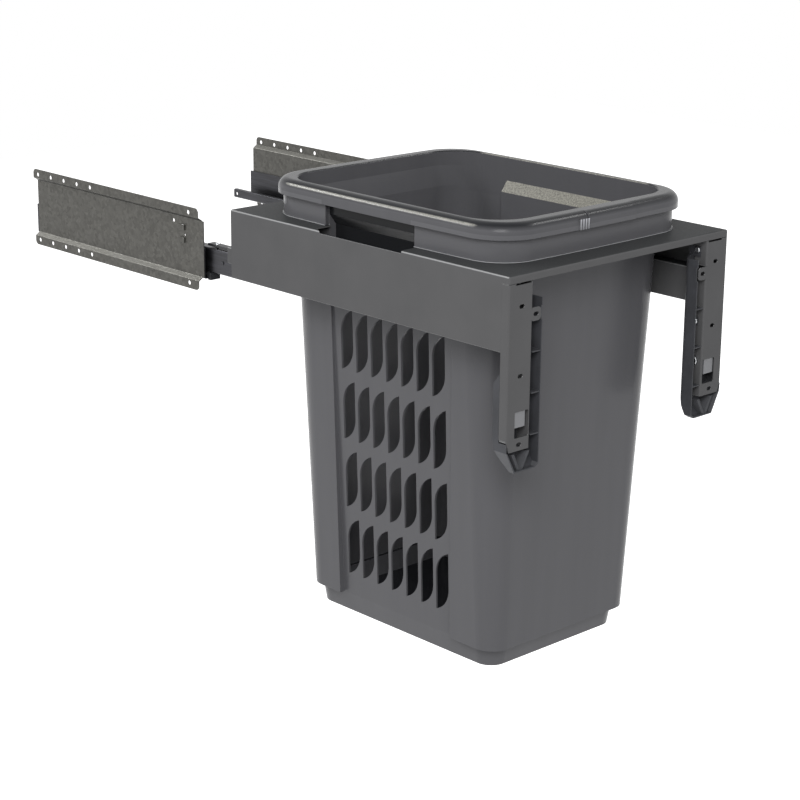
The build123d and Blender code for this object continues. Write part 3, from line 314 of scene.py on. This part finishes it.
# Painted highlight on the steps that look up, painted shade on those that look down.
for painted_step in PAINTED_FLANGE_LIGHT:
    share = add_node(tree, "MapRange", {"Value": lift, "From Min": painted_step["start"],
                                        "From Max": painted_step["full"], "To Min": 0.0,
                                        "To Max": painted_step["share"]}).outputs[0]
    tone = laid_over(tree, tone, painted_step["grey"], share)
dull = add_node(tree, "MapRange", {"Value": crystal[1], "To Min": 0.38, "To Max": 0.6}).outputs[0]
skin = bumped(tree, fine, depth_mm=0.01, normal=rounded(tree, radius_mm=0.3))
close_up(tree, tone, dull, skin, Metallic=0.85)
cover_with(galvanised, *sides("side_plate"))

# Rails, stops and closing pins
# Roll-formed rails in cold-rolled strip with a dark passivated zinc and a film of oil, and the
# small studs riveted into them.

# A smooth, dark shine, with faint streaks along the length from the rolls and the oil.
STREAKS_ALONG = (1, 0.05, 1)
oiled_zinc, tree, place = new_finish("oiled_zinc_strip")
rolled = add_node(tree, "Mapping", {"Vector": place, "Scale": STREAKS_ALONG}).outputs[0]
film = grain(tree, rolled, size_mm=2.5)
close_up(tree, tinted(tree, film, "38383a", "46464a"), worn(tree, film, 0.3, 0.42),
         rounded(tree, radius_mm=0.3), Metallic=0.9)
cover_with(oiled_zinc, *sides("cabinet_rail"), *sides("middle_rail"), *sides("middle_rail_stop"),
           *sides("closing_pin"))

# Balls, cages, guides and the soft-close units
# Hardened steel balls in black acetal cages, black plastic guide plugs, and a black housing with
# an oil cylinder and its rod.

# Nearly a mirror, with a breath of haze.
polished_steel, tree, place = new_finish("polished_ball_steel")
haze = grain(tree, place, size_mm=2.0)
close_up(tree, tinted(tree, haze, "b8babd", "c6c8ca"), worn(tree, haze, 0.12, 0.2),
         rounded(tree, radius_mm=0.1), Metallic=1.0)
cover_with(polished_steel, *sides("lower_balls"), *sides("upper_balls"), *sides("damper_rod"),
           *sides("damper_cylinder"))

# Near black with a soft waxy sheen, so that cages and guides read as dark lines in the rails.
# The grain is drawn coarser than the real one so that it shows.
black_acetal, tree, place = new_finish("black_acetal")
wax = grain(tree, place, size_mm=0.8)
skin = bumped(tree, wax, depth_mm=0.015, normal=rounded(tree, radius_mm=0.4))
close_up(tree, tinted(tree, wax, "1f2022", "26272a"), worn(tree, wax, 0.38, 0.5), skin,
         Specular_IOR_Level=0.5, IOR=1.48)
cover_with(black_acetal, *sides("lower_ball_cage"), *sides("upper_ball_cage"),
           *sides("front_guide"), *sides("damper_housing"))

# Laundry basket
# Injection-moulded polypropylene, dark grey: walls, rolled rim, collar and base tub in one shot.
# It hangs in the deck by its collar and lifts straight out.


def within(tree, value, low, high):
    """1 where a value lies between two bounds, else 0."""
    return add_node(tree, "Math", {0: value, 1: (low + high) / 2, 2: (high - low) / 2},
                    operation="COMPARE").outputs[0]


def meeting(tree, mask, *others):
    """1 where all of these masks are 1. Where one is a share, it weakens the rest by it."""
    for other in others:
        mask = add_node(tree, "Math", {0: mask, 1: other}, operation="MULTIPLY").outputs[0]
    return mask


def outside(tree, mask):
    """1 where a mask is 0, and 0 where it is 1."""
    return add_node(tree, "Math", {0: 1.0, 1: mask}, operation="SUBTRACT").outputs[0]


# Satin, with a grain from the mould, drawn coarser than the real one so that it shows, and faint
# flow streaks down the walls. To match the tones of the object, faces that look up carry painted
# shade.
STREAKS_DOWN = (1, 1, 0.08)
basket_plastic, tree, place = new_finish("moulded_polypropylene")
mould = grain(tree, place, size_mm=0.9)
speckle = grain(tree, place, size_mm=2.2, detail=4.0)
flow = add_node(tree, "Mapping", {"Vector": place, "Scale": STREAKS_DOWN}).outputs[0]
streaks = grain(tree, flow, size_mm=22.0)
shell = tinted(tree, streaks, "58585b", "5a5a5d")
shell = painted_top_shade(tree, shell, "232427", start=0.3, full=0.75)

# Where a spot is on the basket, and whether its face looks out from the middle.
CENTRE = (0.0, 0.253, 0.0)
normal = add_node(tree, "NewGeometry").outputs["Normal"]
lift = add_node(tree, "SeparateXYZ", {0: normal}).outputs["Z"]
spot = add_node(tree, "SeparateXYZ", {0: place}).outputs
from_centre = add_node(tree, "VectorMath", {0: place, 1: CENTRE}, operation="SUBTRACT").outputs[0]
sideways = add_node(tree, "VectorMath", {0: from_centre, 1: (1, 1, 0)},
                    operation="MULTIPLY").outputs[0]
outward = add_node(tree, "VectorMath", {0: sideways, 1: normal},
                   operation="DOT_PRODUCT").outputs["Value"]
outward = add_node(tree, "Math", {0: outward, 1: 0.0}, operation="GREATER_THAN").outputs[0]

# The pockets behind the hand holes are darker, as deep shade.
HAND_HOLE_RUN = (0.186, 0.349)
HAND_HOLE_RISE = (0.1, 0.1489)
at_hole = within(tree, spot["Y"], *HAND_HOLE_RUN)
pocket = meeting(tree, at_hole, outward, within(tree, spot["Z"], *HAND_HOLE_RISE))
shell = laid_over(tree, shell, "242527", pocket)

# Painted light makes the collar a little paler than the walls, and the bead at its foot is a thin
# light line of painted highlight.
COLLAR_RISE = (0.1223, 0.155)
BEAD_RISE = (0.1207, 0.1223)
around = meeting(tree, outside(tree, at_hole), outward)
collar_light = meeting(tree, around, within(tree, spot["Z"], *COLLAR_RISE))
shell = laid_over(tree, shell, "626265", collar_light)
bead_highlight = meeting(tree, around, within(tree, spot["Z"], *BEAD_RISE))
shell = laid_over(tree, shell, "a6a7aa", bead_highlight)

# The slanted roof of each pocket makes a ledge inside the basket, pale and speckled with a painted
# highlight.
LEDGE_LEAN = (0.45, 0.75)
LEDGE_RISE = (0.121, 0.144)
ledge_highlight = meeting(tree, within(tree, lift, *LEDGE_LEAN), within(tree, spot["Z"], *LEDGE_RISE),
                outside(tree, outward))
shell = laid_over(tree, shell, tinted(tree, speckle, "65645d", "96948a"), ledge_highlight)

# The ribs on the front of the rim carry a painted highlight on their crests, palest at the top.
RIB_FRONT = (0.0295, 0.0307)
RIB_FOOT = 0.149
RIB_TOP = 0.161
rib_highlight = add_node(tree, "MapRange", {"Value": spot["Z"], "From Min": RIB_FOOT, "From Max": RIB_TOP,
                                    "To Min": 0.25, "To Max": 1.0}).outputs[0]
rib_highlight = meeting(tree, rib_highlight, within(tree, spot["Y"], *RIB_FRONT))
shell = laid_over(tree, shell, "b0b1b6", rib_highlight)

# A pale, speckled painted highlight runs as a line along the rounding of the left and right rim.
RIM_RISE = (0.155, 0.18)
GLEAM_SLANT = (0.77, 0.0, 0.638)
GLEAM_STARTS = 0.984
GLEAM_IS_FULL = 0.999
slant = add_node(tree, "VectorMath", {0: normal}, operation="ABSOLUTE").outputs[0]
slant = add_node(tree, "VectorMath", {0: slant, 1: GLEAM_SLANT},
                 operation="DOT_PRODUCT").outputs["Value"]
gleam = add_node(tree, "MapRange", {"Value": slant, "From Min": GLEAM_STARTS,
                                    "From Max": GLEAM_IS_FULL, "To Min": 0.0,
                                    "To Max": 0.62}).outputs[0]
gleam = meeting(tree, gleam, within(tree, spot["Z"], *RIM_RISE), worn(tree, speckle, 0.45, 1.0))
shell = laid_over(tree, shell, "cbc9c0", gleam)
skin = bumped(tree, mould, depth_mm=0.02, normal=rounded(tree, radius_mm=0.7))
close_up(tree, shell, worn(tree, mould, 0.2, 0.27), skin, Specular_IOR_Level=0.14, IOR=1.49)
cover_with(basket_plastic, "laundry_basket")
